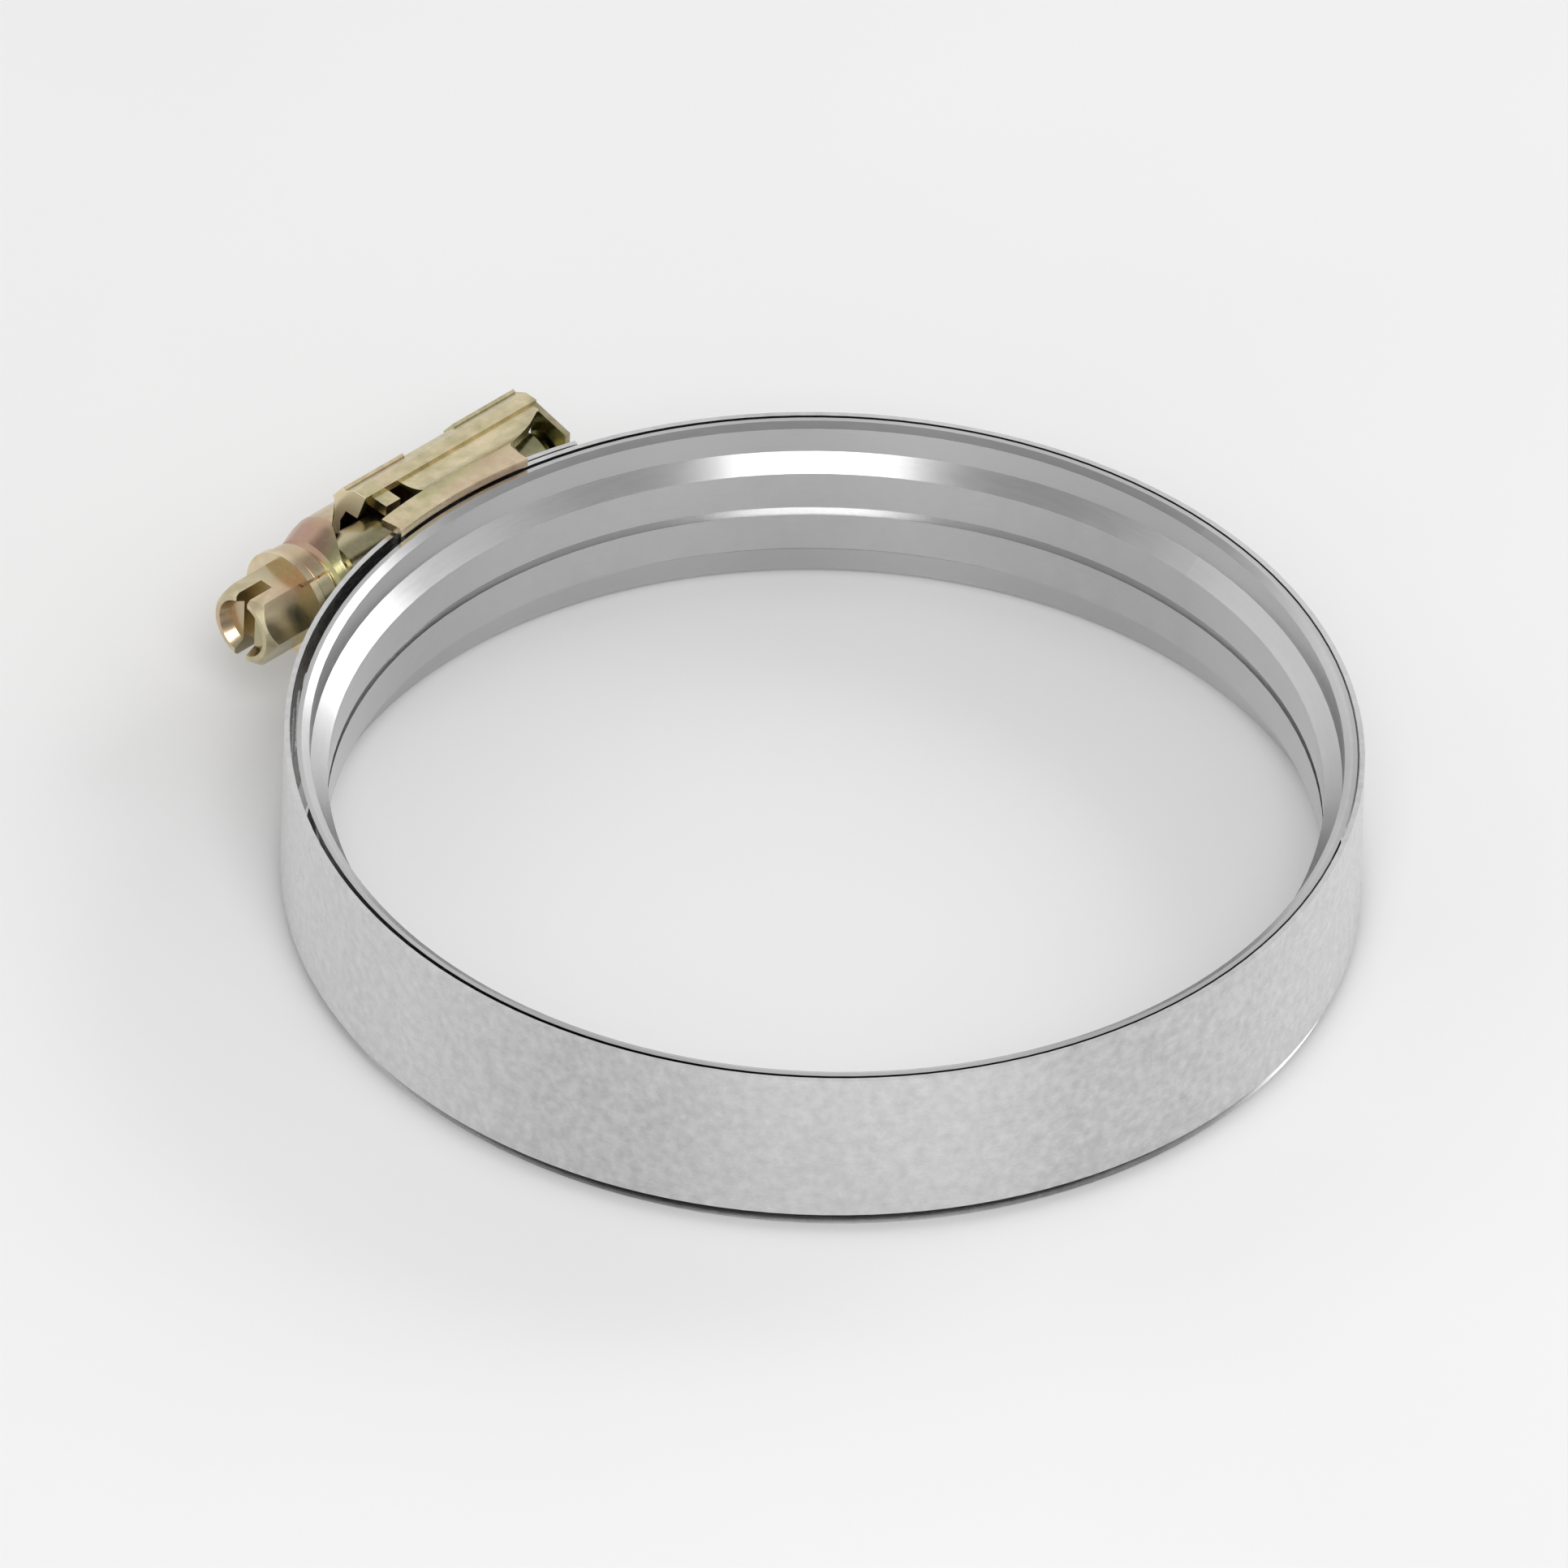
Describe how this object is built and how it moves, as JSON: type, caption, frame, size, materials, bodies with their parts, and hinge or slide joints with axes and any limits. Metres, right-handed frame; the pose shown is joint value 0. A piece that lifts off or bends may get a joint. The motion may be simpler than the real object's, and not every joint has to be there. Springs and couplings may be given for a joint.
{
  "type": "worm drive band clamp",
  "caption": "Worm-drive band clamp with a bright steel strap, a stepped liner ring and a yellow-passivated housing with a slotted hex screw.",
  "frame": {"origin": "middle of the liner ring's bore, at half the liner's height", "axes": "+Z along the bore, +Y towards the screw housing, +X away from the hex head along the screw"},
  "size_m": [0.1108, 0.1229, 0.0204],
  "materials": {
    "bright_steel": "bright rolled stainless steel",
    "yellow_zinc": "yellow-passivated zinc on steel"
  },
  "bodies": {
    "clamp_frame": {"liner_ring": "bright_steel", "strap_anchor_end": "bright_steel", "housing_body": "yellow_zinc", "housing_cover": "yellow_zinc"},
    "screw": {"worm_screw": "yellow_zinc", "split_collar": "yellow_zinc"},
    "band": {"strap_band": "bright_steel"}
  },
  "joints": [
    {"name": "screw_turn", "type": "hinge", "parent": "clamp_frame", "child": "screw", "pos_m": [0, 0.06111, 0.00227], "axis": [1, 0, 0], "range_deg": [-720, 1440]},
    {"name": "band_feed", "type": "hinge", "parent": "clamp_frame", "child": "band", "pos_m": [-0.0001, 0.00011, 0.00085], "axis": [0, 0, -1], "range_deg": [-6.3, 12.5]}
  ],
  "couplings": [
    {"joint": "band_feed", "follows": "screw_turn", "ratio": 0.0085346}
  ]
}
